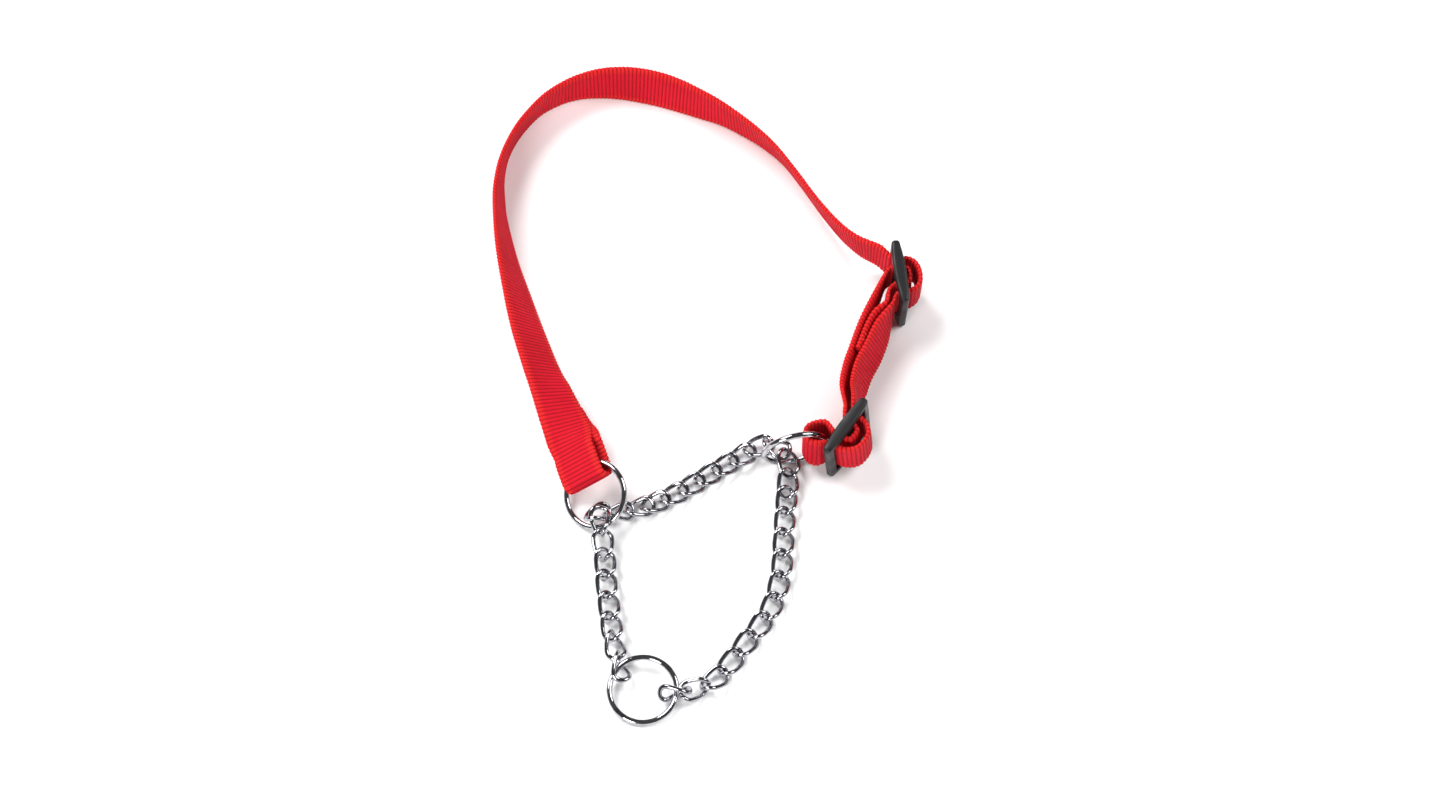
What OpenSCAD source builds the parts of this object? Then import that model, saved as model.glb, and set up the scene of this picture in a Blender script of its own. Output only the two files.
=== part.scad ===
// Martingale collar: an adjustable webbing neck strap with a ring in a sewn loop at each end,
// two moulded slides that set the length, and a curb-chain loop that carries the lead ring.
// The collar lies on a flat surface at Z = 0, with most of the webbing standing on its edge.

/* [Webbing] */
// Width of the webbing
web_w = 20; // [18:0.5:20]
// Thickness of the webbing
web_t = 2.2; // [1.6:0.1:2.2]
// Height of the stitch rows above the webbing
thread_h = 0.5; // [0.3:0.1:0.6]

/* [Rings] */
// Radius of each ring at the middle of its wire
ring_r = 13.75; // [13.6:0.05:13.8]
// Wire diameter of each ring
ring_wire = 2.5; // [2:0.1:2.5]

/* [Chain] */
// Wire diameter of the chain links
link_wire = 2.0; // [1.6:0.1:2]
// Length of a link between the middles of its end wires
link_l = 12.6; // [12.5:0.05:12.7]
// Width of a link between the middles of its side wires
link_w = 7.8; // [7.6:0.1:7.9]
// Twist of each link along its length, in degrees
link_twist = 90; // [80:1:95]

/* [Slides] */
// Length of a slide across its three bars
slide_l = 29; // [28:0.5:31]
// Height of a slide along its bars
slide_h = 28; // [27:0.5:30]
// Thickness of a slide at its centre bar
slide_t = 5.4; // [5:0.1:6]
// Thickness of a slide at its outer bars
slide_end_t = 3.4; // [3:0.1:3.6]
// Width of the centre bar
bar_w = 3.8; // [3.4:0.1:3.8]
// Width of each outer bar
rim_w = 3.4; // [3:0.1:3.6]

/* [Hidden] */
$fn = 64;

// Middle of the laid-out collar, which becomes the origin
middle = [-1.4, 6.25, 0];

// ---- vector helpers ----
function unit(v) = v / norm(v);
function mix(a, b, t) = a * (1 - t) + b * t;
// One point of a smooth curve that runs through b and c
function curve_at(a, b, c, d, t) =
    0.5 * (2 * b + (c - a) * t + (2 * a - 5 * b + 4 * c - d) * t * t
    + (3 * b - a - 3 * c + d) * t * t * t);
// A smooth curve through all the points, with n steps between neighbours
function smooth(pts, n) = let (last = len(pts) - 1) concat(
    [for (i = [0 : last - 1], k = [0 : n - 1])
        curve_at(pts[max(i - 1, 0)], pts[i], pts[i + 1], pts[min(i + 2, last)], k / n)],
    [pts[last]]);
function head3(v) = [v[0], v[1], v[2]];
function tail3(v) = [v[3], v[4], v[5]];

// ---- where the slides and rings lie ----
// Each slide: centre, heading about Z, lean about its own X
upper_slide_at = [[82, 51.1, 16.2], 8, 8];
lower_slide_at = [[58.4, -25.2, 16.2], -36, 8];
// Axes of a slide: through its slots, across its bars, along its bars
function slide_x(s) = [cos(s[1]), sin(s[1]), 0];
function slide_y(s) = [-sin(s[1]) * cos(s[2]), cos(s[1]) * cos(s[2]), sin(s[2])];
function slide_z(s) = [sin(s[1]) * sin(s[2]), -cos(s[1]) * sin(s[2]), cos(s[2])];

// Each ring: centre, and the axis that it is round
left_ring_at = [[-47.4, -49, 9.6], unit([-0.45, -0.40, 0.80])];
right_ring_at = [[36.8, -29.8, 15], unit([-0.21, 0.97, 0.12])];
lead_ring_at = [[-26.4, -136.3, 3.6], unit([0, -0.165, 0.986])];

// ---- route of the webbing ----
// Every station of the route is a point and the direction of the webbing's width.
// In the left loop the webbing lies in the ring's plane: along_ring runs towards its fold.
ring_n = left_ring_at[1];
along_ring = unit([0.37, -0.90, -0.24] - ([0.37, -0.90, -0.24] * ring_n) * ring_n);
across_ring = cross(ring_n, along_ring);
function in_ring(across, along, up) = concat(
    left_ring_at[0] + across * across_ring + along * along_ring + up * ring_n, -across_ring);
fold_at = -8.1;
fold_r = 2.75;
// Under ply, fold and the start of the upper ply around the left ring
left_fold = concat(
    [in_ring(1.6, -23, -1.5), in_ring(1.2, -18, -2.2), in_ring(0.7, -13.5, -fold_r)],
    [for (a = [-90 : 30 : 90]) in_ring(-0.3 - a / 120, fold_at + fold_r * cos(a), fold_r * sin(a))],
    [in_ring(-1, -13.5, fold_r), in_ring(-1, -18, 2.2), in_ring(-1, -22, 1.6)]);

// Neck stretch: X, Y, Z and the lean of the width away from upright, outwards positive
neck = [
    [-59.8, -20.5, 15.4, 88], [-63.6, -10.5, 15.8, 70], [-67.3, -0.5, 15.6, 60],
    [-71.2, 9.5, 14.6, 52], [-77.7, 30, 12.4, 45], [-83.4, 51.5, 10.4, 35], [-88.4, 72, 9.9, 24],
    [-91.8, 93, 10, 13], [-92.3, 104, 9.9, 7], [-91.8, 114, 9.9, 0], [-89.4, 125, 9.9, -7],
    [-84.6, 136, 9.9, -10], [-76, 148, 9.9, -11], [-67, 155, 9.9, -8], [-58, 159, 9.9, -3],
    [-49, 160.8, 9.9, 4], [-40, 161, 9.9, 9], [-31, 159.8, 9.9, 13], [-22, 157.5, 9.9, 13],
    [-13, 154, 9.9, 10], [-4, 149.7, 9.9, 4], [5, 145, 9.9, -3], [14, 138.6, 10, -8],
    [23, 131, 10.2, -12], [31.7, 121.5, 10.3, -15], [40.5, 108, 10.4, -15], [49, 93.5, 11, -14],
    [57.5, 80.8, 12.2, -12], [65.2, 71.8, 14.2, -10]];
// Width direction at neck station i, from the heading of its neighbours
function neck_station(i) =
    let (last = len(neck) - 1,
         step = head3(neck[min(i + 1, last)]) - head3(neck[max(i - 1, 0)]),
         out = unit([-step[1], step[0], 0]),
         lean = neck[i][3])
    concat(head3(neck[i]), sin(lean) * out + [0, 0, cos(lean)]);
neck_route = [for (i = [0 : len(neck) - 1]) neck_station(i)];

// The sewn-under end of the webbing lies below neck station i, drifted sideways from it
function under_ply(i, drift) =
    let (w = tail3(neck_route[i]),
         step = head3(neck[i + 1]) - head3(neck[max(i - 1, 0)]),
         down = unit(cross(w, step)))
    concat(head3(neck[i]) + 2.65 * down - drift * w, w);

// A point of the route inside a slide: how far through the slots, and how far across the bars
function in_slide(s, through, across) =
    concat(s[0] + through * slide_x(s) + across * slide_y(s), slide_z(s));
// A free point of the route between the slides: the webbing dips a little there and leans inwards
function free_ply(x, y) =
    let (slack = max(0, 1 - pow(abs(y - 14) / 28, 2)))
    concat([x, y, 12.6 + 3.4 * pow(abs(y - 14) / 40, 2)], unit([-0.08 - 0.3 * slack, -0.09, 1]));
// The loop round the right ring stands straight up
function loop_ply(x, y) = [x, y, 15.4, 0, 0, 1];

// Tight turn round the centre bar of a slide, through the slots and across the bars
turn_x = slide_t / 2 + 0.45 + web_t / 2;
turn_y = bar_w / 2 + 0.4 + web_t / 2;
bar_turn = [
    [0.4, -turn_y], [2.4, -turn_y], [turn_x - 0.4, -turn_y + 0.7], [turn_x, -1.6], [turn_x, 0],
    [turn_x, 1.6], [turn_x - 0.4, turn_y - 0.7], [2.4, turn_y], [0.4, turn_y]];
route = concat(
    [under_ply(1, 1.9), under_ply(0, 1.5)],
    left_fold,
    neck_route,
    // round the bulge of the upper slide
    [in_slide(upper_slide_at, -6.8, 14.6), in_slide(upper_slide_at, -4.4, 11.8),
     in_slide(upper_slide_at, -1.8, 8.9), in_slide(upper_slide_at, 1.6, 7.8),
     in_slide(upper_slide_at, 5.2, 7), in_slide(upper_slide_at, 8, 4.4),
     in_slide(upper_slide_at, 9, 0), in_slide(upper_slide_at, 8, -4.6),
     in_slide(upper_slide_at, 4.8, -7.2), in_slide(upper_slide_at, 0.6, -7.8),
     in_slide(upper_slide_at, -2.8, -8.9), in_slide(upper_slide_at, -4.8, -12.4)],
    // outer ply down to the lower slide
    [free_ply(74.6, 29), free_ply(70.6, 19), free_ply(66.2, 9.5), free_ply(63.4, -0.5)],
    // round the bulge of the lower slide
    [in_slide(lower_slide_at, -6.6, 15), in_slide(lower_slide_at, -4.4, 11.6),
     in_slide(lower_slide_at, -1.8, 8.7), in_slide(lower_slide_at, 1.6, 7.8),
     in_slide(lower_slide_at, 5.2, 7.2), in_slide(lower_slide_at, 8.4, 4.4),
     in_slide(lower_slide_at, 9.4, 0), in_slide(lower_slide_at, 8.4, -4.6),
     in_slide(lower_slide_at, 4.8, -7.8), in_slide(lower_slide_at, 0.6, -8.8),
     in_slide(lower_slide_at, -3.2, -9.3)],
    // loop round the right ring
    [loop_ply(46.4, -32.3), loop_ply(42.8, -31.4), loop_ply(40.6, -28.2), loop_ply(41.6, -24.6),
     loop_ply(45.4, -22.6), loop_ply(49.6, -22.6)],
    // tight turn round the centre bar of the lower slide
    [in_slide(lower_slide_at, -3.2, -3.6)],
    [for (p = bar_turn) in_slide(lower_slide_at, p[0], p[1])],
    [in_slide(lower_slide_at, -3.2, 4.2), in_slide(lower_slide_at, -5.8, 7.6)],
    // inner ply back up to the upper slide
    [free_ply(58.9, -11.5), free_ply(58.7, -2), free_ply(61, 8), free_ply(63.9, 17),
     free_ply(67.4, 29), free_ply(71, 40)],
    // tight turn round the centre bar of the upper slide, and the sewn tail
    [in_slide(upper_slide_at, -6.6, 0.6), in_slide(upper_slide_at, -3.4, 3.6)],
    [for (p = bar_turn) in_slide(upper_slide_at, p[0], -p[1])],
    [in_slide(upper_slide_at, -2.8, -4.0), in_slide(upper_slide_at, -5.6, -6.4),
     in_slide(upper_slide_at, -7.6, -11.4)],
    [free_ply(73.3, 34.4), free_ply(70.3, 27.6), free_ply(66.6, 16.2)]);

// ---- solids swept along a route ----
// Four corners of the webbing at station i of a list of stations
function web_corners(st, i) =
    let (last = len(st) - 1,
         step = head3(st[min(i + 1, last)]) - head3(st[max(i - 1, 0)]),
         side = unit(tail3(st[i])),
         face = unit(cross(step, side)))
    [for (c = [[1, 1], [-1, 1], [-1, -1], [1, -1]])
        head3(st[i]) + side * c[0] * web_w / 2 + face * c[1] * web_t / 2];
// Triangles of a tube of n-sided sections; closed tubes join their last section to the first
function tube_faces(rings, n, closed) = [
    for (i = [0 : closed ? rings - 1 : rings - 2], k = [0 : n - 1])
        let (j = (i + 1) % rings, m = (k + 1) % n)
        each [[i * n + k, j * n + m, i * n + m], [i * n + k, j * n + k, j * n + m]]];
function cap_faces(rings, n) = [
    for (k = [1 : n - 2]) each [
        [0, k, k + 1], [(rings - 1) * n, (rings - 1) * n + k + 1, (rings - 1) * n + k]]];

module webbing() {
    stations = smooth(route, 2);
    points = [for (i = [0 : len(stations) - 1]) each web_corners(stations, i)];
    color("crimson") difference() {
        translate(-middle)
            polyhedron(points, concat(tube_faces(len(stations), 4, false), cap_faces(len(stations), 4)));
        // the edge that the webbing rests on is pressed flat
        translate([-200, -250, -10]) cube([400, 500, 10]);
    }
}

// A bar of thread on the face of the webbing: centre, width direction, face direction and length
module thread_bar(at, side, face, length) {
    run = cross(side, face);
    corners = [for (u = [-1, 1], v = [-1, 1], w = [-1, 1])
        at + side * u * length / 2 + run * v * 0.4 + face * (w + 1) * thread_h / 2];
    color("firebrick") translate(-middle) polyhedron(corners,
        [[0, 1, 3, 2], [4, 6, 7, 5], [0, 4, 5, 1], [2, 3, 7, 6], [0, 2, 6, 4], [1, 5, 7, 3]]);
}

// Rows of thread that close the loop round the left ring
module left_loop_stitching() {
    for (along = [-17.2, -19.4])
        let (p = in_ring(-1, along, 2.25 + web_t / 2 + (along + 17.2) * 0.16))
        thread_bar(head3(p), across_ring, ring_n, web_w - 4);
}

// Rows of thread that close the end of the strap round the upper slide
module slide_loop_stitching() {
    for (y = [20.4, 23.2])
        let (p = free_ply(65.05 + (y - 20.4) * 0.3, y), side = tail3(p),
             face = unit(cross(side, [3.5, 12, 0])))
        thread_bar(head3(p) + face * web_t / 2, side, face, web_w - 4);
}

// ---- slides ----
// Profile of a slide across its bars: thick at the centre bar and thin at the rims
module slide_profile() {
    rise = (slide_t - slide_end_t) / 2;
    half = slide_l / 2 - slide_end_t / 2;
    arc_r = (half * half + rise * rise) / (2 * rise);
    intersection() {
        translate([arc_r - slide_t / 2, 0]) circle(arc_r, $fn = 360);
        translate([slide_t / 2 - arc_r, 0]) circle(arc_r, $fn = 360);
        square([slide_t, 2 * half], center = true);
    }
    for (end = [-1, 1])
        translate([0, end * half]) circle(slide_end_t / 2);
}

module slide(s) {
    slot_w = slide_l / 2 - rim_w - bar_w / 2;
    slot_h = web_w + 2;
    translate(s[0] - middle) rotate([0, 0, s[1]]) rotate([s[2], 0, 0])
    difference() {
        translate([0, 0, -slide_h / 2]) linear_extrude(slide_h) slide_profile();
        for (side = [-1, 1])
            translate([0, side * (bar_w / 2 + slot_w / 2), 0])
                cube([slide_t + 2, slot_w, slot_h], center = true);
    }
}
module upper_slide() {
    color("dimgray") slide(upper_slide_at);
}
module lower_slide() {
    color("dimgray") slide(lower_slide_at);
}

// ---- rings ----
// A welded wire ring; the seam is a short stretch of slightly thicker wire
module ring(r) {
    n = r[1];
    tilt = acos(n[2]);
    turn = atan2(n[1], n[0]);
    translate(r[0] - middle) rotate([0, 0, turn]) rotate([0, tilt, 0]) {
        rotate_extrude($fn = 96) translate([ring_r, 0]) circle(ring_wire / 2, $fn = 32);
        rotate([0, 0, 200]) rotate_extrude(angle = 7, $fn = 96)
            translate([ring_r, 0]) circle(ring_wire / 2 + 0.04, $fn = 32);
    }
}
module left_ring() {
    color("silver") ring(left_ring_at);
}
module right_ring() {
    color("silver") ring(right_ring_at);
}
module lead_ring() {
    color("silver") ring(lead_ring_at);
}

// ---- chain ----
// Centre and roll of every link, from the lead ring up the left side, along the top and back down
left_links = [
    [-36.0, -126.6, 4.9, 55], [-38.2, -116.6, 4.4, 30], [-39.6, -107.4, 3.4, 5],
    [-40.8, -98, 3.2, 0], [-42, -88, 3.2, 0], [-42.8, -78, 3.2, 0], [-43.8, -70.2, 5, -15],
    [-45, -60.8, 8.2, -30]];
top_links = [
    [-45.8, -56.6, 6.4, -10], [-37.6, -54.2, 3.4, -20], [-29, -52, 3.1, -10],
    [-22.2, -49.6, 3.2, 0], [-14.4, -45.8, 3.2, 0], [-7.2, -41.4, 3.2, 0], [-0.2, -36.6, 3.2, 0],
    [7, -31.8, 3.2, 0], [14.2, -27.2, 3.4, 0], [21.4, -23.2, 4.6, 10], [29, -24.8, 6.6, -10]];
right_links = [
    [33.8, -32, 6.2, 0], [33.6, -40.8, 4, -5], [33, -48.6, 3.2, 0], [32.2, -58.6, 3.2, 0],
    [31.6, -68.6, 3.2, 0], [31, -78.6, 3.2, 0], [29.4, -88.8, 3.2, 0], [26.4, -98.6, 3.2, 0],
    [21.4, -107.4, 3.2, 0], [15.4, -115.6, 3.2, 0], [9.6, -123.8, 3.2, -5],
    [2.8, -131.6, 3.2, 5], [-5.4, -136.6, 5, -35], [-13.4, -137.8, 5, -95]];
links = concat(left_links, top_links, right_links);

link_steps = 20;
link_sides = 8;
// Point of a flat link's centre line at a distance along it: two straights and two half circles
function link_flat(d) =
    let (straight = link_l - link_w, half = straight / 2, r = link_w / 2, bend = PI * r)
    d < straight ? [d - half, -r]
    : d < straight + bend ? let (a = -90 + (d - straight) / r * 180 / PI) [half + r * cos(a), r * sin(a)]
    : d < 2 * straight + bend ? [half - (d - straight - bend), r]
    : let (a = 90 + (d - 2 * straight - bend) / r * 180 / PI) [-half + r * cos(a), r * sin(a)];
function link_twisted(p) =
    let (a = link_twist / 2 * p[0] / (link_l / 2)) [p[0], p[1] * cos(a), p[1] * sin(a)];
link_path = [
    let (around = 2 * (link_l - link_w) + PI * link_w)
    for (k = [0 : link_steps - 1]) link_twisted(link_flat(around * (k + 0.5) / link_steps))];

// Section of wire round point k of the link's centre line
function link_section(k) =
    let (p = link_path[k],
         run = unit(link_path[(k + 1) % link_steps] - link_path[(k + link_steps - 1) % link_steps]),
         out = unit(p - (p * run) * run),
         up = cross(run, out))
    [for (j = [0 : link_sides - 1]) let (a = 360 * j / link_sides)
        p + link_wire / 2 * (cos(a) * out + sin(a) * up)];
link_points = [for (k = [0 : link_steps - 1]) each link_section(k)];

module link(i) {
    last = len(links) - 1;
    ahead = unit(head3(links[min(i + 1, last)]) - head3(links[max(i - 1, 0)]));
    side = unit(cross([0, 0, 1], ahead));
    above = cross(ahead, side);
    roll = links[i][3];
    rolled_side = cos(roll) * side + sin(roll) * above;
    rolled_above = cos(roll) * above - sin(roll) * side;
    placed = [for (p = link_points)
        head3(links[i]) - middle + p[0] * ahead + p[1] * rolled_side + p[2] * rolled_above];
    color("gainsboro") polyhedron(placed, tube_faces(link_steps, link_sides, true));
}

module left_link_1() {
    link(0);
}
module left_link_2() {
    link(1);
}
module left_link_3() {
    link(2);
}
module left_link_4() {
    link(3);
}
module left_link_5() {
    link(4);
}
module left_link_6() {
    link(5);
}
module left_link_7() {
    link(6);
}
module left_link_8() {
    link(7);
}
module top_link_1() {
    link(8);
}
module top_link_2() {
    link(9);
}
module top_link_3() {
    link(10);
}
module top_link_4() {
    link(11);
}
module top_link_5() {
    link(12);
}
module top_link_6() {
    link(13);
}
module top_link_7() {
    link(14);
}
module top_link_8() {
    link(15);
}
module top_link_9() {
    link(16);
}
module top_link_10() {
    link(17);
}
module top_link_11() {
    link(18);
}
module right_link_1() {
    link(19);
}
module right_link_2() {
    link(20);
}
module right_link_3() {
    link(21);
}
module right_link_4() {
    link(22);
}
module right_link_5() {
    link(23);
}
module right_link_6() {
    link(24);
}
module right_link_7() {
    link(25);
}
module right_link_8() {
    link(26);
}
module right_link_9() {
    link(27);
}
module right_link_10() {
    link(28);
}
module right_link_11() {
    link(29);
}
module right_link_12() {
    link(30);
}
module right_link_13() {
    link(31);
}
module right_link_14() {
    link(32);
}

webbing();
left_loop_stitching();
slide_loop_stitching();
upper_slide();
lower_slide();
left_ring();
right_ring();
lead_ring();
left_link_1();
left_link_2();
left_link_3();
left_link_4();
left_link_5();
left_link_6();
left_link_7();
left_link_8();
top_link_1();
top_link_2();
top_link_3();
top_link_4();
top_link_5();
top_link_6();
top_link_7();
top_link_8();
top_link_9();
top_link_10();
top_link_11();
right_link_1();
right_link_2();
right_link_3();
right_link_4();
right_link_5();
right_link_6();
right_link_7();
right_link_8();
right_link_9();
right_link_10();
right_link_11();
right_link_12();
right_link_13();
right_link_14();
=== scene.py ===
# %% [markdown]
# # A martingale dog collar
# The collar is a ribbed nylon strap that two moulded slides shorten or lengthen, with a welded
# ring in a sewn loop at each end. A curb chain runs through both rings and carries a third one
# for the lead. The frame holds the plain parts in their real places; here each gets its finish.

# %% Load the frame
import math
from itertools import accumulate
import bmesh
import bpy
from mathutils import Matrix, Vector


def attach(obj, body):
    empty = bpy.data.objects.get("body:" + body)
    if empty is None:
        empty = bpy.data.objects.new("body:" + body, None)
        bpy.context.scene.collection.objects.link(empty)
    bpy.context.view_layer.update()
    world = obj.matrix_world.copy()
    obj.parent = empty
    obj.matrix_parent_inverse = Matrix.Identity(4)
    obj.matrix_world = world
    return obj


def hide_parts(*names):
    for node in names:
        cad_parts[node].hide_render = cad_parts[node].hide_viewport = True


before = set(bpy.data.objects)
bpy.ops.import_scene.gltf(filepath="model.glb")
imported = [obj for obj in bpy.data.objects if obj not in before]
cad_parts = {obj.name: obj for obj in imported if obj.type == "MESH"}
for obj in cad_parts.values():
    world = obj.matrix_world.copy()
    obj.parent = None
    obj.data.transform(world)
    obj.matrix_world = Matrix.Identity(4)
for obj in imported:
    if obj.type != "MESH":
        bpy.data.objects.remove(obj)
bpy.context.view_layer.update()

MM = 0.001
MIDDLE = Vector((-1.4, 6.25, 0))

# %% [markdown]
# ## The camera
# The camera comes first, because everything is judged through it. It looks down at 60 degrees
# through a long lens, as for a product laid on a table.

# %% Set up the camera
camera = bpy.data.objects.new("camera", bpy.data.cameras.new("camera"))
bpy.context.scene.collection.objects.link(camera)
camera.data.lens = 85
camera.data.sensor_width = 36
camera.location = Vector((7.4, -735.35, 1268.0)) * MM
camera.rotation_euler = (math.radians(30), 0, 0)
bpy.context.scene.camera = camera
print("camera at", tuple(camera.location))

# %% [markdown]
# ## Where things lie
# Each ring has a centre and the axis it is round. Each slide has a centre, a heading and a lean.
# Points of the strap's route are given in the frame of whichever of these it passes, so that it
# threads them properly. Lengths are in millimetres until a piece is finished.

# %% Place rings and slides
def unit(*v):
    return Vector(v).normalized()


RINGS = {
    "left_ring": (Vector((-47.4, -49, 9.6)), unit(-0.45, -0.40, 0.80)),
    "right_ring": (Vector((36.8, -29.8, 15)), unit(-0.21, 0.97, 0.12)),
    "lead_ring": (Vector((-26.4, -136.3, 3.6)), unit(0, -0.165, 0.986)),
}
SLIDES = {
    "upper_slide": (Vector((82, 51.1, 16.2)), 8, 8),
    "lower_slide": (Vector((58.4, -25.2, 16.2)), -36, 8),
}


def slide_frame(name):
    centre, heading, lean = SLIDES[name]
    turn = Matrix.Rotation(math.radians(heading), 4, "Z")
    return Matrix.Translation(centre) @ turn @ Matrix.Rotation(math.radians(lean), 4, "X")


RING_C, RING_N = RINGS["left_ring"]
along_raw = Vector((0.37, -0.90, -0.24))
ALONG = (along_raw - along_raw.dot(RING_N) * RING_N).normalized()
ACROSS = RING_N.cross(ALONG)
print("left loop runs along", tuple(round(a, 3) for a in ALONG))

# %% [markdown]
# ## The strap's route
# A real strap is one flat strip, so it is modelled as one. The route is a list of stations: a
# point on the strip's middle line and the direction of its width. A smooth curve through the
# stations gives the place of every row of the weave.

# %% Write the route down
def in_ring(across, along, up):
    return RING_C + across * ACROSS + along * ALONG + up * RING_N, -ACROSS


def in_slide(name, *points):
    place = slide_frame(name)
    width = place.to_3x3() @ Vector((0, 0, 1))
    return [(place @ Vector((x, y, 0)), width) for x, y in points]


def between_slides(*points):
    """Between the slides the plies sag a little and lean inwards together."""
    stations = []
    for x, y in points:
        slack = max(0, 1 - (abs(y - 14) / 28) ** 2)
        height = 12.6 + 3.4 * (abs(y - 14) / 40) ** 2
        stations.append((Vector((x, y, height)), unit(-0.08 - 0.3 * slack, -0.09, 1)))
    return stations


LOOP_HEIGHT = 15.4


def ring_loop(*points):
    """The loop round the right ring stands straight up."""
    return [(Vector((x, y, LOOP_HEIGHT)), Vector((0, 0, 1))) for x, y in points]


FOLD_AT, FOLD_R = -8.1, 2.75
left_fold = [in_ring(1.6, -23, -1.5), in_ring(1.2, -18, -2.2), in_ring(0.7, -13.5, -FOLD_R)]
for angle in range(-90, 91, 30):
    turned = math.radians(angle)
    left_fold.append(in_ring(-0.3 - angle / 120, FOLD_AT + FOLD_R * math.cos(turned),
                             FOLD_R * math.sin(turned)))
left_fold += [in_ring(-1, -13.5, FOLD_R), in_ring(-1, -18, 2.2), in_ring(-1, -22, 1.6)]

# x, y, z and how far the width leans outwards from upright, in degrees
NECK = [
    (-59.8, -20.5, 15.4, 88), (-63.6, -10.5, 15.8, 70), (-67.3, -0.5, 15.6, 60),
    (-71.2, 9.5, 14.6, 52), (-77.7, 30, 12.4, 45), (-83.4, 51.5, 10.4, 35), (-88.4, 72, 9.9, 24),
    (-91.8, 93, 10, 13), (-92.3, 104, 9.9, 7), (-91.8, 114, 9.9, 0), (-89.4, 125, 9.9, -7),
    (-84.6, 136, 9.9, -10), (-76, 148, 9.9, -11), (-67, 155, 9.9, -8), (-58, 159, 9.9, -3),
    (-49, 160.8, 9.9, 4), (-40, 161, 9.9, 9), (-31, 159.8, 9.9, 13), (-22, 157.5, 9.9, 13),
    (-13, 154, 9.9, 10), (-4, 149.7, 9.9, 4), (5, 145, 9.9, -3), (14, 138.6, 10, -8),
    (23, 131, 10.2, -12), (31.7, 121.5, 10.3, -15), (40.5, 108, 10.4, -15), (49, 93.5, 11, -14),
    (57.5, 80.8, 12.2, -12), (65.2, 71.8, 14.2, -10)]
neck = []
for i, (x, y, z, lean) in enumerate(NECK):
    before, after = NECK[max(i - 1, 0)], NECK[min(i + 1, len(NECK) - 1)]
    outwards = unit(before[1] - after[1], after[0] - before[0], 0)
    lean = math.radians(lean)
    neck.append((Vector((x, y, z)), math.sin(lean) * outwards + Vector((0, 0, math.cos(lean)))))

BAR_TURN = [(0.4, -3.4), (2.4, -3.4), (3.85, -2.7), (4.25, -1.6), (4.25, 0), (4.25, 1.6),
            (3.85, 2.7), (2.4, 3.4), (0.4, 3.4)]


PLY_DROP = 2.65


def under_ply(i, drift):
    """The sewn-under end lies below neck station i, drifted sideways from it."""
    middle, width = neck[i]
    down = width.cross(neck[i + 1][0] - neck[max(i - 1, 0)][0]).normalized()
    return middle + PLY_DROP * down - drift * width, width


ROUTE = (
    [under_ply(1, 1.9), under_ply(0, 1.5)] + left_fold + neck
    + in_slide("upper_slide", (-6.8, 14.6), (-4.4, 11.8), (-1.8, 8.9), (1.6, 7.8), (5.2, 7),
               (8, 4.4), (9, 0), (8, -4.6), (4.8, -7.2), (0.6, -7.8), (-2.8, -8.9),
               (-4.8, -12.4))
    + between_slides((74.6, 29), (70.6, 19), (66.2, 9.5), (63.4, -0.5))
    + in_slide("lower_slide", (-6.6, 15), (-4.4, 11.6), (-1.8, 8.7), (1.6, 7.8), (5.2, 7.2),
               (8.4, 4.4), (9.4, 0), (8.4, -4.6), (4.8, -7.8), (0.6, -8.8), (-3.2, -9.3))
    + ring_loop((46.4, -32.3), (42.8, -31.4), (40.6, -28.2), (41.6, -24.6), (45.4, -22.6),
                (49.6, -22.6))
    + in_slide("lower_slide", (-3.2, -3.6), *BAR_TURN, (-3.2, 4.2), (-5.8, 7.6))
    + between_slides((58.9, -11.5), (58.7, -2), (61, 8), (63.9, 17), (67.4, 29), (71, 40))
    + in_slide("upper_slide", (-6.6, 0.6), (-3.4, 3.6), *[(x, -y) for x, y in BAR_TURN],
               (-2.8, -4.0), (-5.6, -6.4), (-7.6, -11.4))
    + between_slides((73.3, 34.4), (70.3, 27.6), (66.6, 16.2)))
print(len(ROUTE), "stations")

# %% Smooth the route and measure along it
def curve_at(a, b, c, d, t):
    return 0.5 * (2 * b + (c - a) * t + (2 * a - 5 * b + 4 * c - d) * t * t
                  + (3 * b - a - 3 * c + d) * t ** 3)


STEPS = 24
line = []
for i in range(len(ROUTE) - 1):
    four = [ROUTE[min(max(k, 0), len(ROUTE) - 1)] for k in (i - 1, i, i + 1, i + 2)]
    for k in range(STEPS):
        line.append(tuple(curve_at(*[s[part] for s in four], k / STEPS) for part in (0, 1)))
line.append(ROUTE[-1])
travelled = [0.0, *accumulate((b[0] - a[0]).length for a, b in zip(line, line[1:]))]
STRAP_L = travelled[-1]
print("strap is %.1f mm long" % STRAP_L)


def section_at(distance, cursor=[0]):
    """Middle, width and face direction of the strap at a distance along it.

    The cursor remembers the last place, so that steps along the strap need no new search."""
    if travelled[cursor[0]] > distance:
        cursor[0] = 0
    while cursor[0] < len(line) - 2 and travelled[cursor[0] + 1] < distance:
        cursor[0] += 1
    i = cursor[0]
    part = (distance - travelled[i]) / (travelled[i + 1] - travelled[i])
    middle = line[i][0].lerp(line[i + 1][0], part)
    width = line[i][1].lerp(line[i + 1][1], part).normalized()
    ahead_a = line[i + 1][0] - line[max(i - 1, 0)][0]
    ahead_b = line[min(i + 2, len(line) - 1)][0] - line[i][0]
    ahead = ahead_a.normalized().lerp(ahead_b.normalized(), part)
    return middle, width, width.cross(ahead).normalized()


# %% [markdown]
# ## Weave the strap
# Nylon webbing has one thick weft yarn in each cross rib, and the warp wraps over it, so both
# faces are corrugated and the edges are scalloped at the same pitch. Those shapes are real
# geometry: a fine flat grid is given thickness, its rows are raised into ribs, and then it is
# laid along the route. The finer yarns are left to the material.

# %% Make the ribbed strip
RIB = 1.75
ROWS_PER_RIB = 4
COLUMNS = 12
HALF_W = 9.75
RIB_SHAPE = (0.0, 0.72, 1.0, 0.72)
RIB_RISE = 0.24
VALLEY_HALF_T = 0.82


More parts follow.
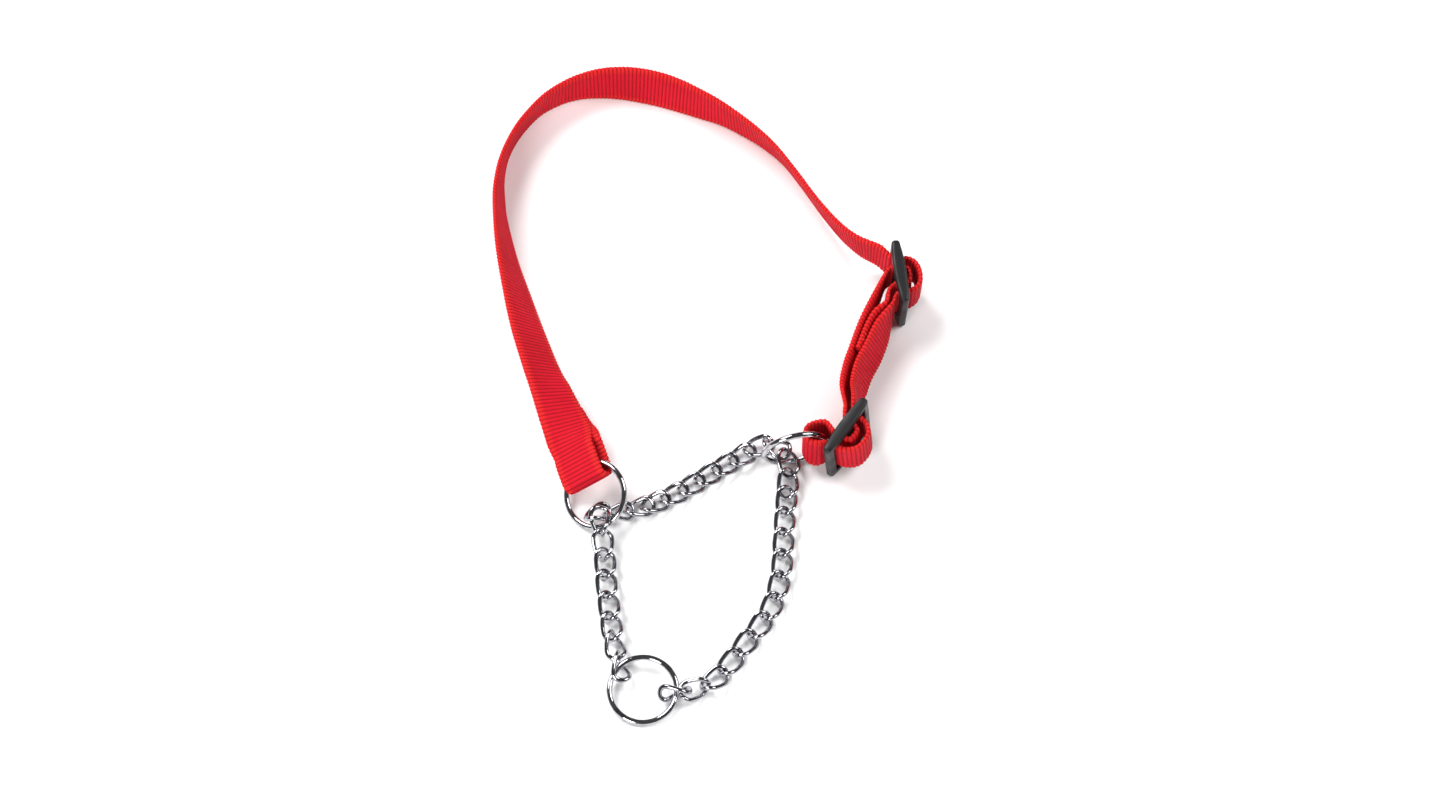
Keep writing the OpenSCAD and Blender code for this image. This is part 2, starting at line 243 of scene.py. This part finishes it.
def finish_piece(name, bm, materials, body, smooth=True):
    """Turn a bmesh in millimetres into a finished piece at the origin, riding on its body."""
    for v in bm.verts:
        v.co = (v.co - MIDDLE) * MM
    mesh = bpy.data.meshes.new(name)
    bm.to_mesh(mesh)
    bm.free()
    for m in materials:
        mesh.materials.append(m)
    if smooth:
        mesh.shade_smooth()
    piece = bpy.data.objects.new(name, mesh)
    bpy.context.scene.collection.objects.link(piece)
    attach(piece, body)
    return piece


def strap_point(across, along, above):
    middle, width, face = section_at(min(max(along, 0), STRAP_L))
    return middle + across * width + above * face


rows = ROWS_PER_RIB * round(STRAP_L / RIB)
strip = bmesh.new()
bmesh.ops.create_grid(strip, x_segments=COLUMNS, y_segments=rows, size=0.5)
bmesh.ops.scale(strip, vec=(2 * HALF_W, STRAP_L, 1), verts=strip.verts)
bmesh.ops.translate(strip, vec=(0, STRAP_L / 2, 0), verts=strip.verts)
raised = bmesh.ops.extrude_face_region(strip, geom=strip.faces[:])
top = [g for g in raised["geom"] if isinstance(g, bmesh.types.BMVert)]
bmesh.ops.translate(strip, vec=(0, 0, 1), verts=top)
across_layer = strip.verts.layers.float.new("across")
along_layer = strip.verts.layers.float.new("along")
for v in sorted(strip.verts, key=lambda v: v.co.y):
    row = round(v.co.y / STRAP_L * rows)
    rib = RIB_SHAPE[row % ROWS_PER_RIB]
    edge = abs(v.co.x) / HALF_W
    half = VALLEY_HALF_T + RIB_RISE * rib - 0.34 * max(edge - 0.8, 0) / 0.2
    across = v.co.x + math.copysign(RIB_RISE * rib, v.co.x) * (edge > 0.99)
    v[across_layer], v[along_layer] = across, v.co.y
    v.co = strap_point(across, v.co.y, half if v.co.z > 0.5 else -half)
    v.co.z = max(v.co.z, 0)
bmesh.ops.recalc_face_normals(strip, faces=strip.faces)
print("strap has", len(strip.faces), "faces")

# %% [markdown]
# ## The webbing's material
# The dye takes more deeply in the middle than on the two selvedges, which look lighter and
# more orange. Shade between the ribs is painted into the colour, and the rib crests and yarn
# tops get a painted highlight. All of these follow the strip's own measures, stored on it while
# it was flat, so they bend with it.

# %% A few helpers for node materials
def new_material(name):
    material = bpy.data.materials.new(name)
    material.use_nodes = True
    nodes = material.node_tree.nodes
    return material, nodes, nodes["Principled BSDF"]


def linear(red, green, blue):
    """Screen colour values to the linear ones that shaders take."""
    return tuple((c / 255 / 12.92) if c < 11 else ((c / 255 + 0.055) / 1.055) ** 2.4
                 for c in (red, green, blue)) + (1.0,)


def plug(nodes, kind, out=0, settings=None, **inputs):
    """Add a node, set or link its inputs by name or number, and return one of its outputs."""
    node = nodes.new(kind)
    for key, value in (settings or {}).items():
        setattr(node, key, value)
    for key, value in inputs.items():
        socket = node.inputs[int(key[1:]) if key[1:].isdigit() else key.replace("_", " ")]
        if isinstance(value, bpy.types.NodeSocket):
            nodes.id_data.links.new(value, socket)
        else:
            socket.default_value = value
    return node.outputs[out]


def calc(nodes, operation, a, b=0.0, c=0.0):
    return plug(nodes, "ShaderNodeMath", settings={"operation": operation}, i0=a, i1=b, i2=c)


def blend_colour(nodes, factor, a, b, mode="MIX"):
    settings = {"data_type": "RGBA", "blend_type": mode}
    return plug(nodes, "ShaderNodeMix", out=2, settings=settings, i0=factor, i6=a, i7=b)


def ramp(nodes, value, low, high, to_low=0.0, to_high=1.0):
    settings = {"interpolation_type": "SMOOTHSTEP"}
    return plug(nodes, "ShaderNodeMapRange", settings=settings, i0=value, i1=low, i2=high,
                i3=to_low, i4=to_high)


def link(nodes, output, socket):
    nodes.id_data.links.new(output, socket)


# %% Dye and weave the webbing, with painted shade between its ribs
YARN = 0.84
webbing_mat, nodes, shader = new_material("red_webbing")
across = plug(nodes, "ShaderNodeAttribute", out="Fac", settings={"attribute_name": "across"})
along = plug(nodes, "ShaderNodeAttribute", out="Fac", settings={"attribute_name": "along"})
rib_turns = calc(nodes, "DIVIDE", along, RIB)
crest = calc(nodes, "MULTIPLY_ADD", calc(nodes, "COSINE", calc(nodes, "MULTIPLY", rib_turns,
             2 * math.pi)), -0.5, 0.5)
shift = calc(nodes, "MULTIPLY", calc(nodes, "MODULO", calc(nodes, "FLOOR", rib_turns), 2.0), 0.5)
yarn_turns = calc(nodes, "ADD", calc(nodes, "DIVIDE", across, YARN), shift)
yarn = calc(nodes, "MULTIPLY_ADD", calc(nodes, "COSINE", calc(nodes, "MULTIPLY", yarn_turns,
            2 * math.pi)), 0.5, 0.5)
selvedge = ramp(nodes, calc(nodes, "ABSOLUTE", across), 6.2, 8.6)
place = plug(nodes, "ShaderNodeTexCoord", out="Object")
mottle = plug(nodes, "ShaderNodeTexNoise", Vector=place, Scale=45.0, Detail=3.0)
fuzz = plug(nodes, "ShaderNodeTexNoise", Vector=place, Scale=1800.0, Detail=2.0)
middle_red = blend_colour(nodes, ramp(nodes, mottle, 0.35, 0.7), linear(194, 4, 34),
                          linear(208, 8, 40))
dyed = blend_colour(nodes, selvedge, middle_red, linear(214, 30, 34))
# painted shade in the valleys between ribs, with the rib crests left lighter as a painted
# highlight
painted_valley_shade = blend_colour(nodes, 1.0, dyed, linear(186, 140, 150), "MULTIPLY")
ribs_with_painted_shade = blend_colour(nodes, ramp(nodes, crest, 0.0, 0.6), painted_valley_shade, dyed)
# a painted highlight along the tops of the yarns
yarns_with_painted_highlight = blend_colour(nodes, calc(nodes, "MULTIPLY", yarn, 0.14), ribs_with_painted_shade, linear(236, 70, 72))
link(nodes, yarns_with_painted_highlight, shader.inputs["Base Color"])
link(nodes, ramp(nodes, fuzz, 0.3, 0.7, 0.66, 0.86), shader.inputs["Roughness"])
height = calc(nodes, "ADD", calc(nodes, "MULTIPLY", yarn, calc(nodes, "MULTIPLY", crest, 0.7)),
              calc(nodes, "MULTIPLY", fuzz, 0.5))
bump = plug(nodes, "ShaderNodeBump", Strength=0.55, Distance=0.00012, Height=height)
link(nodes, bump, shader.inputs["Normal"])
shader.inputs["Sheen Weight"].default_value = 0.03
shader.inputs["Sheen Roughness"].default_value = 0.4
shader.inputs["Sheen Tint"].default_value = linear(255, 150, 140)
shader.inputs["Specular IOR Level"].default_value = 0.12
webbing = finish_piece("webbing_strap", strip, [webbing_mat], "strap")
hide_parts("webbing")
print("strap laid and dyed")

# %% [markdown]
# ## Stitching
# The loops are closed by rows of lockstitch. Each visible stitch is a short, plump bead of
# thread that dips into the webbing at both ends, so each is a stretched ball half sunk in the
# strap. One ball is shaped once and copied along every row.

# %% Sew the rows
thread_mat, nodes, shader = new_material("red_thread")
place = plug(nodes, "ShaderNodeTexCoord", out="Object")
ply = plug(nodes, "ShaderNodeTexWave", Vector=place, Scale=900.0, Distortion=2.0)
twist = blend_colour(nodes, ramp(nodes, ply, 0.2, 0.8), linear(196, 18, 40), linear(236, 78, 80))
link(nodes, twist, shader.inputs["Base Color"])
link(nodes, plug(nodes, "ShaderNodeBump", Strength=0.4, Distance=0.0001, Height=ply),
     shader.inputs["Normal"])
shader.inputs["Roughness"].default_value = 0.6
shader.inputs["Sheen Weight"].default_value = 0.2


SEAM_HEIGHT = 1.06


def sew_row(bm, along, above, reach=8.4, stitches=9):
    """Beads of thread across the strap at one distance along it."""
    for k in range(stitches):
        across = reach * (2 * k / (stitches - 1) - 1)
        bead = bmesh.ops.create_uvsphere(bm, u_segments=10, v_segments=8, radius=1)["verts"]
        here = strap_point(across, along, above)
        width = (strap_point(across + 1, along, above) - here).normalized()
        face = (strap_point(across, along, above + math.copysign(1, above)) - here).normalized()
        run = face.cross(width)
        shape = Matrix((width * 0.82, run * 0.3, face * 0.26)).transposed().to_4x4()
        bmesh.ops.transform(bm, matrix=Matrix.Translation(here) @ shape, verts=bead)


def distance_near(point):
    """How far along the strap its middle line passes closest to a point."""
    nearest = min(range(len(line)), key=lambda i: (line[i][0] - Vector(point)).length)
    return travelled[nearest]


seam = bmesh.new()
seam_at = distance_near(in_ring(-1, -18, 2.2)[0])
for gap in (0, 2.4, 4.8):
    sew_row(seam, seam_at + gap, SEAM_HEIGHT)
bmesh.ops.recalc_face_normals(seam, faces=seam.faces)
left_seam = finish_piece("left_loop_stitches", seam, [thread_mat], "strap")
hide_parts("left_loop_stitching")

tail = bmesh.new()
for back in (5, 7.6):
    sew_row(tail, STRAP_L - back, SEAM_HEIGHT)
bmesh.ops.recalc_face_normals(tail, faces=tail.faces)
tail_seam = finish_piece("slide_loop_stitches", tail, [thread_mat], "strap")
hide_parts("slide_loop_stitching")
print("stitch rows sewn at", round(seam_at, 1), "and", round(STRAP_L - 5, 1), "mm")

# %% [markdown]
# ## Slides
# Each slide is one moulding: a frame with two slots and a thick centre bar. A block is cut
# through by planes where the slots begin and end, the slot faces are taken out, and the two
# skins are bridged. The plate then swells towards its centre bar, and a bevel softens every
# edge as a mould would.

# %% Mould the slides
SLIDE_L, SLIDE_H = 29, 28


def make_slide(name):
    bm = bmesh.new()
    bmesh.ops.create_cube(bm, size=1)
    bmesh.ops.scale(bm, vec=(2, SLIDE_L, SLIDE_H), verts=bm.verts)
    cuts = [((0, y, 0), (0, 1, 0)) for y in (-11.1, -7, -4, -1.9, 0, 1.9, 4, 7, 11.1)]
    cuts += [((0, 0, z), (0, 0, 1)) for z in (-11, 11)]
    for point, normal in cuts:
        bmesh.ops.bisect_plane(bm, geom=bm.verts[:] + bm.edges[:] + bm.faces[:],
                               plane_co=point, plane_no=normal)
    holes = []
    for face in bm.faces:
        c = face.calc_center_median()
        if abs(face.normal.x) > 0.9 and 1.9 < abs(c.y) < 11.1 and abs(c.z) < 11:
            holes.append(face)
    bmesh.ops.delete(bm, geom=holes, context="FACES")
    for side in (-1, 1):
        rim = [e for e in bm.edges if e.is_boundary and e.verts[0].co.y * side > 0]
        bmesh.ops.bridge_loops(bm, edges=rim)
    for v in bm.verts:
        v.co.x *= 2.7 - (v.co.y / (SLIDE_L / 2)) ** 2 * 1.05
    bmesh.ops.recalc_face_normals(bm, faces=bm.faces)
    rims = [e for e in bm.edges if len(e.link_faces) == 2
            and e.calc_face_angle() > math.radians(50)]
    outer = [e for e in rims if all(abs(v.co.y) > 14.4 or abs(v.co.z) > 13.9 for v in e.verts)]
    bmesh.ops.bevel(bm, geom=outer, offset=1.1, segments=4, profile=0.5, affect="EDGES",
                    material=-1, clamp_overlap=True)
    rims = [e for e in bm.edges if len(e.link_faces) == 2
            and e.calc_face_angle() > math.radians(50)]
    bmesh.ops.bevel(bm, geom=rims, offset=0.4, segments=3, profile=0.5, affect="EDGES",
                    material=-1, clamp_overlap=True)
    bmesh.ops.transform(bm, matrix=slide_frame(name), verts=bm.verts)
    piece = finish_piece(name + "_moulding", bm, [plastic_mat], name,
                         smooth=False)
    piece.data.set_sharp_from_angle(angle=math.radians(40))
    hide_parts(name)
    print(name, len(piece.data.polygons), "faces")


plastic_mat, nodes, shader = new_material("dark_moulded_plastic")
place = plug(nodes, "ShaderNodeTexCoord", out="Object")
grain = plug(nodes, "ShaderNodeTexNoise", Vector=place, Scale=2600.0, Detail=2.0)
rubbed = plug(nodes, "ShaderNodeTexNoise", Vector=place, Scale=160.0, Detail=4.0)
tone = blend_colour(nodes, ramp(nodes, rubbed, 0.35, 0.7), linear(22, 22, 24),
                    linear(34, 33, 35))
link(nodes, tone, shader.inputs["Base Color"])
link(nodes, ramp(nodes, rubbed, 0.3, 0.7, 0.46, 0.32), shader.inputs["Roughness"])
link(nodes, plug(nodes, "ShaderNodeBump", Strength=0.25, Distance=0.00005, Height=grain),
     shader.inputs["Normal"])
shader.inputs["Specular IOR Level"].default_value = 0.28
for name in SLIDES:
    make_slide(name)

# %% [markdown]
# ## Plated steel
# Rings and chain are bright nickel over steel. The plate is mirror-like but never perfect:
# tumbling leaves faint waves and hairlines, which break the reflections up a little.

# %% Plate the steel
def plated(name, colour, rough_low, rough_high):
    material, nodes, shader = new_material(name)
    place = plug(nodes, "ShaderNodeTexCoord", out="Object")
    waves = plug(nodes, "ShaderNodeTexNoise", Vector=place, Scale=220.0, Detail=3.0)
    hairs = plug(nodes, "ShaderNodeTexNoise", Vector=place, Scale=1500.0, Detail=4.0,
                 Distortion=1.5)
    tarnish = ramp(nodes, waves, 0.45, 0.75)
    tint = blend_colour(nodes, tarnish, colour, linear(140, 138, 142))
    link(nodes, tint, shader.inputs["Base Color"])
    link(nodes, ramp(nodes, hairs, 0.4, 0.7, rough_low, rough_high), shader.inputs["Roughness"])
    height = calc(nodes, "ADD", waves, calc(nodes, "MULTIPLY", hairs, 0.15))
    link(nodes, plug(nodes, "ShaderNodeBump", Strength=0.12, Distance=0.0002, Height=height),
         shader.inputs["Normal"])
    shader.inputs["Metallic"].default_value = 1.0
    return material


ring_mat = plated("plated_ring_steel", linear(188, 188, 192), 0.04, 0.1)
chain_mat = plated("plated_chain_steel", linear(170, 170, 175), 0.05, 0.12)
print("plated:", ring_mat.name, chain_mat.name)

# %% [markdown]
# ## Welded rings
# A ring is wire bent round and butt-welded. A small circle is spun round the ring's axis, and
# the wire is swollen a little and pinched at the weld so that the joint can be seen and felt.

# %% Bend and weld the rings
RING_R, WIRE_R = 13.75, 1.25
WELD_AT = 203.5
for name, (centre, normal) in RINGS.items():
    bm = bmesh.new()
    upright = Matrix.Rotation(math.pi / 2, 4, "X")
    bmesh.ops.create_circle(bm, segments=20, radius=WIRE_R,
                            matrix=Matrix.Translation((RING_R, 0, 0)) @ upright)
    bmesh.ops.spin(bm, geom=bm.verts[:] + bm.edges[:], cent=(0, 0, 0), axis=(0, 0, 1),
                   angle=2 * math.pi, steps=144, use_merge=True)
    bmesh.ops.remove_doubles(bm, verts=bm.verts, dist=0.001)
    for v in bm.verts:
        angle = math.degrees(math.atan2(v.co.y, v.co.x)) % 360 - WELD_AT
        core = Vector((v.co.x, v.co.y, 0)).normalized() * RING_R
        swell = 0.032 * math.exp(-(angle / 4) ** 2) - 0.07 * math.exp(-(angle / 1.4) ** 2)
        v.co = core + (v.co - core) * (1 + swell)
    bmesh.ops.recalc_face_normals(bm, faces=bm.faces)
    tilt = Matrix.Rotation(math.acos(normal.z), 4, "Y")
    turn = Matrix.Rotation(math.atan2(normal.y, normal.x), 4, "Z")
    bmesh.ops.transform(bm, matrix=Matrix.Translation(centre) @ turn @ tilt, verts=bm.verts)
    ring = finish_piece(name + "_welded", bm, [ring_mat], name)
    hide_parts(name)
    print(name, len(ring.data.polygons), "faces")

# %% [markdown]
# ## Curb chain
# Curb links start as flat ovals. Twisting each a quarter turn lets the chain lie flat. The same
# is done here: spin a ring of wire, pull its halves apart into an oval, cut the long sides into
# short pieces so that they can bend, and twist the oval about its length.

# %% Shape one link
LINK_L, LINK_W, LINK_WIRE, TWIST = 12.6, 7.8, 2.0, 90


def make_link():
    bm = bmesh.new()
    upright = Matrix.Rotation(math.pi / 2, 4, "X")
    bmesh.ops.create_circle(bm, segments=14, radius=LINK_WIRE / 2,
                            matrix=Matrix.Translation((LINK_W / 2, 0, 0)) @ upright)
    bmesh.ops.spin(bm, geom=bm.verts[:] + bm.edges[:], cent=(0, 0, 0), axis=(0, 0, 1),
                   angle=2 * math.pi, steps=42, use_merge=True)
    bmesh.ops.remove_doubles(bm, verts=bm.verts, dist=0.001)
    sides = [e for e in bm.edges if min(v.co.x for v in e.verts) < -0.01
             and max(v.co.x for v in e.verts) > 0.01]
    for v in bm.verts:
        v.co.x += math.copysign((LINK_L - LINK_W) / 2, v.co.x)
    bmesh.ops.subdivide_edges(bm, edges=sides, cuts=9, use_grid_fill=True)
    for v in bm.verts:
        angle = math.radians(TWIST) * v.co.x / LINK_L
        v.co = Matrix.Rotation(angle, 3, "X") @ v.co
    bmesh.ops.recalc_face_normals(bm, faces=bm.faces)
    return bm


LEFT = [
    (-36.0, -126.6, 4.9, 55), (-38.2, -116.6, 4.4, 30), (-39.6, -107.4, 3.4, 5),
    (-40.8, -98, 3.2, 0), (-42, -88, 3.2, 0), (-42.8, -78, 3.2, 0), (-43.8, -70.2, 5, -15),
    (-45, -60.8, 8.2, -30)]
TOP = [
    (-45.8, -56.6, 6.4, -10), (-37.6, -54.2, 3.4, -20), (-29, -52, 3.1, -10),
    (-22.2, -49.6, 3.2, 0), (-14.4, -45.8, 3.2, 0), (-7.2, -41.4, 3.2, 0), (-0.2, -36.6, 3.2, 0),
    (7, -31.8, 3.2, 0), (14.2, -27.2, 3.4, 0), (21.4, -23.2, 4.6, 10), (29, -24.8, 6.6, -10)]
RIGHT = [
    (33.8, -32, 6.2, 0), (33.6, -40.8, 4, -5), (33, -48.6, 3.2, 0), (32.2, -58.6, 3.2, 0),
    (31.6, -68.6, 3.2, 0), (31, -78.6, 3.2, 0), (29.4, -88.8, 3.2, 0), (26.4, -98.6, 3.2, 0),
    (21.4, -107.4, 3.2, 0), (15.4, -115.6, 3.2, 0), (9.6, -123.8, 3.2, -5),
    (2.8, -131.6, 3.2, 5), (-5.4, -136.6, 5, -35), (-13.4, -137.8, 5, -95)]
LINKS = LEFT + TOP + RIGHT
NAMES = (["left_link_%d" % (k + 1) for k in range(len(LEFT))]
         + ["top_link_%d" % (k + 1) for k in range(len(TOP))]
         + ["right_link_%d" % (k + 1) for k in range(len(RIGHT))])


def link_place(i):
    """Where link i sits: it points from its neighbour before to its neighbour after."""
    before, after = LINKS[max(i - 1, 0)], LINKS[min(i + 1, len(LINKS) - 1)]
    ahead = (Vector(after[:3]) - Vector(before[:3])).normalized()
    side = Vector((0, 0, 1)).cross(ahead).normalized()
    axes = Matrix((ahead, side, ahead.cross(side))).transposed()
    roll = Matrix.Rotation(math.radians(LINKS[i][3]), 4, "X")
    return Matrix.Translation(Vector(LINKS[i][:3])) @ axes.to_4x4() @ roll


for i, name in enumerate(NAMES):
    bm = make_link()
    bmesh.ops.transform(bm, matrix=link_place(i), verts=bm.verts)
    piece = finish_piece(name + "_wire", bm, [chain_mat], name)
    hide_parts(name)
print(len(NAMES), "links of", len(piece.data.polygons), "faces")

# %% [markdown]
# ## Table and light
# A pale table takes the soft shadows. Three big soft lights, high behind on the left, high on
# the right and lower in front, keep the shadows short and faint. Polished wire only looks like
# metal when it has something dark to
# mirror, so the room above the table is dim.

# %% Lay the table and light it
floor_mesh = bmesh.new()
bmesh.ops.create_grid(floor_mesh, x_segments=1, y_segments=1, size=3)
mesh = bpy.data.meshes.new("table")
floor_mesh.to_mesh(mesh)
floor_mesh.free()
table_mat, nodes, shader = new_material("pale_table")
place = plug(nodes, "ShaderNodeTexCoord", out="Object")
speckle = plug(nodes, "ShaderNodeTexNoise", Vector=place, Scale=4.0)
link(nodes, blend_colour(nodes, speckle, (0.93, 0.93, 0.935, 1), (0.95, 0.95, 0.95, 1)),
     shader.inputs["Base Color"])
shader.inputs["Roughness"].default_value = 0.9
shader.inputs["Specular IOR Level"].default_value = 0.1
mesh.materials.append(table_mat)
table = bpy.data.objects.new("table", mesh)
bpy.context.scene.collection.objects.link(table)


def soft_light(name, place, size, power, aim=(0, 0, 0)):
    data = bpy.data.lights.new(name, "AREA")
    data.shape, data.size, data.energy = "DISK", size, power
    lamp = bpy.data.objects.new(name, data)
    bpy.context.scene.collection.objects.link(lamp)
    lamp.location = place
    lamp.rotation_euler = (Vector(aim) - Vector(place)).to_track_quat("-Z", "Y").to_euler()


soft_light("key", (-1.2, 0.9, 1.9), 1.5, 60)
soft_light("fill", (1.5, 0.2, 1.8), 1.3, 34)
soft_light("front", (-1.0, -1.9, 1.1), 0.9, 42)
world = bpy.data.worlds.new("room")
bpy.context.scene.world = world
# the plain transform keeps the dye a true red and the table white
bpy.context.scene.view_settings.view_transform = "Standard"
world.use_nodes = True
world.node_tree.nodes["Background"].inputs["Color"].default_value = (1, 1, 1, 1)
world.node_tree.nodes["Background"].inputs["Strength"].default_value = 0.1
print("lit")
